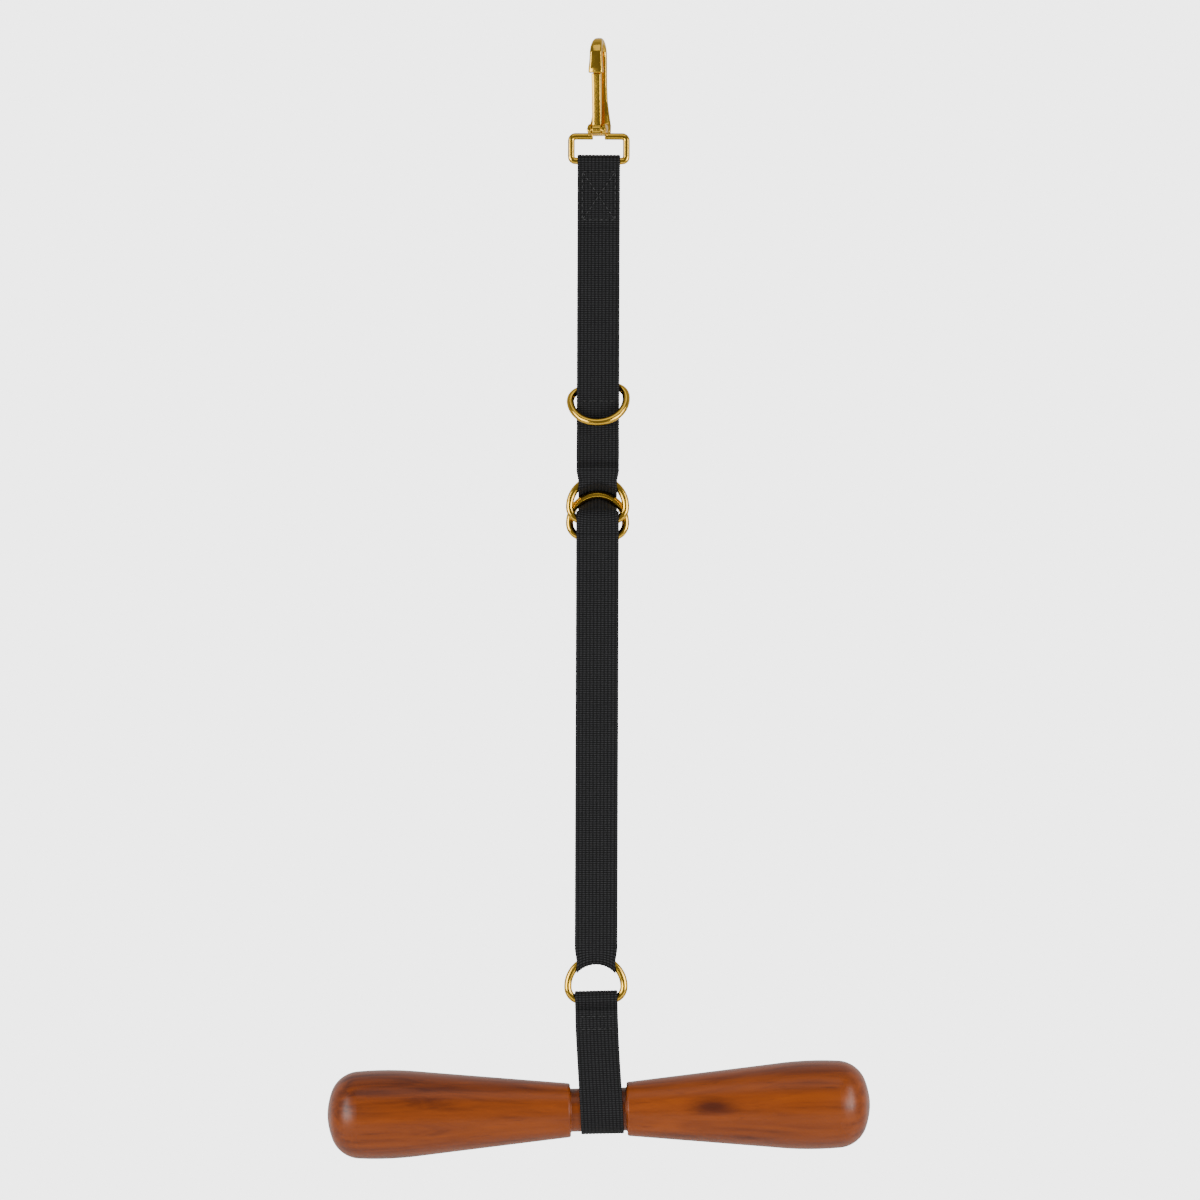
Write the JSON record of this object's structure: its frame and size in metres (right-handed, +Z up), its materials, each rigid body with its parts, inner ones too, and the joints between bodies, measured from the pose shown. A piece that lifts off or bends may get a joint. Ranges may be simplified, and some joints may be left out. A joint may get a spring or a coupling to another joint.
{
  "type": "hanging pull handle",
  "caption": "Adjustable webbing strap with a brass snap hook at its top and a turned double-ended wooden grip hung across its foot.",
  "frame": {"origin": "centre of the snap hook's round seat, the point it hangs from", "axes": "+Z up, -Y the front with the hook gate and strap faces, +X to the right along the handle"},
  "size_m": [0.32, 0.0524, 0.6619],
  "materials": {
    "brass": "polished",
    "brass_spring": "drawn spring wire",
    "webbing": "black woven nylon webbing",
    "thread": "black sewing thread",
    "wood": "clear satin lacquer"
  },
  "bodies": {
    "hook": {"snap_body": "brass", "snap_gate_pin": "brass"},
    "gate": {"snap_gate": "brass", "snap_gate_spring": "brass_spring"},
    "upper_strap": {"hook_strap": "webbing", "hook_stitching": "thread", "main_strap_head": "webbing", "anchor_stitching": "thread", "main_strap_mid": "webbing"},
    "anchor_ring": {"anchor_ring": "brass"},
    "adjuster": {"main_strap_weave": "webbing", "adjuster_ring_front": "brass", "adjuster_ring_rear": "brass", "adjuster_fold": "webbing", "adjuster_stitching": "thread", "main_strap_front": "webbing", "main_strap_rear": "webbing"},
    "lower_loop": {"main_strap_saddle": "webbing"},
    "lower_ring": {"lower_ring": "brass"},
    "neck_loop": {"neck_loop": "webbing", "neck_stitching": "thread"},
    "handle": {"handle": "wood"}
  },
  "joints": [
    {"name": "gate_hinge", "type": "hinge", "parent": "hook", "child": "gate", "pos_m": [-0.00112, -0.00487, -0.0437], "axis": [-0.9744, 0.225, 0], "range_deg": [0, 14], "stiffness_Nm_per_rad": 0.02, "springref_deg": -28.65},
    {"name": "hook_swing", "type": "hinge", "parent": "hook", "child": "upper_strap", "pos_m": [0, 0, -0.062], "axis": [1, 0, 0], "range_deg": [-100, 100]},
    {"name": "anchor_ring_swing", "type": "hinge", "parent": "upper_strap", "child": "anchor_ring", "pos_m": [0, 0.00635, -0.1965], "axis": [-0.9936, 0, -0.1132], "range_deg": [0, 100]},
    {"name": "adjuster_slide", "type": "slide", "parent": "upper_strap", "child": "adjuster", "axis": [0, 0, 1], "range_m": [-0.38, 0.004], "deforming": ["main_strap_mid"]},
    {"name": "loop_take_up", "type": "slide", "parent": "adjuster", "child": "lower_loop", "axis": [0, 0, 1], "range_m": [-0.003, 0.191], "deforming": ["main_strap_front", "main_strap_rear"]},
    {"name": "lower_ring_tilt", "type": "hinge", "parent": "lower_loop", "child": "lower_ring", "pos_m": [0, 0, -0.5489], "axis": [0, 1, 0], "range_deg": [-30, 30]},
    {"name": "neck_loop_swing", "type": "hinge", "parent": "lower_ring", "child": "neck_loop", "pos_m": [0.00019, 0, -0.55615], "axis": [0.9997, 0, 0.0262], "range_deg": [-100, 100]},
    {"name": "handle_spin", "type": "hinge", "parent": "neck_loop", "child": "handle", "pos_m": [0.0019, 0, -0.62162], "axis": [0.9997, 0, 0.0262], "continuous": true}
  ],
  "couplings": [
    {"joint": "loop_take_up", "follows": "adjuster_slide", "ratio": -0.5}
  ]
}
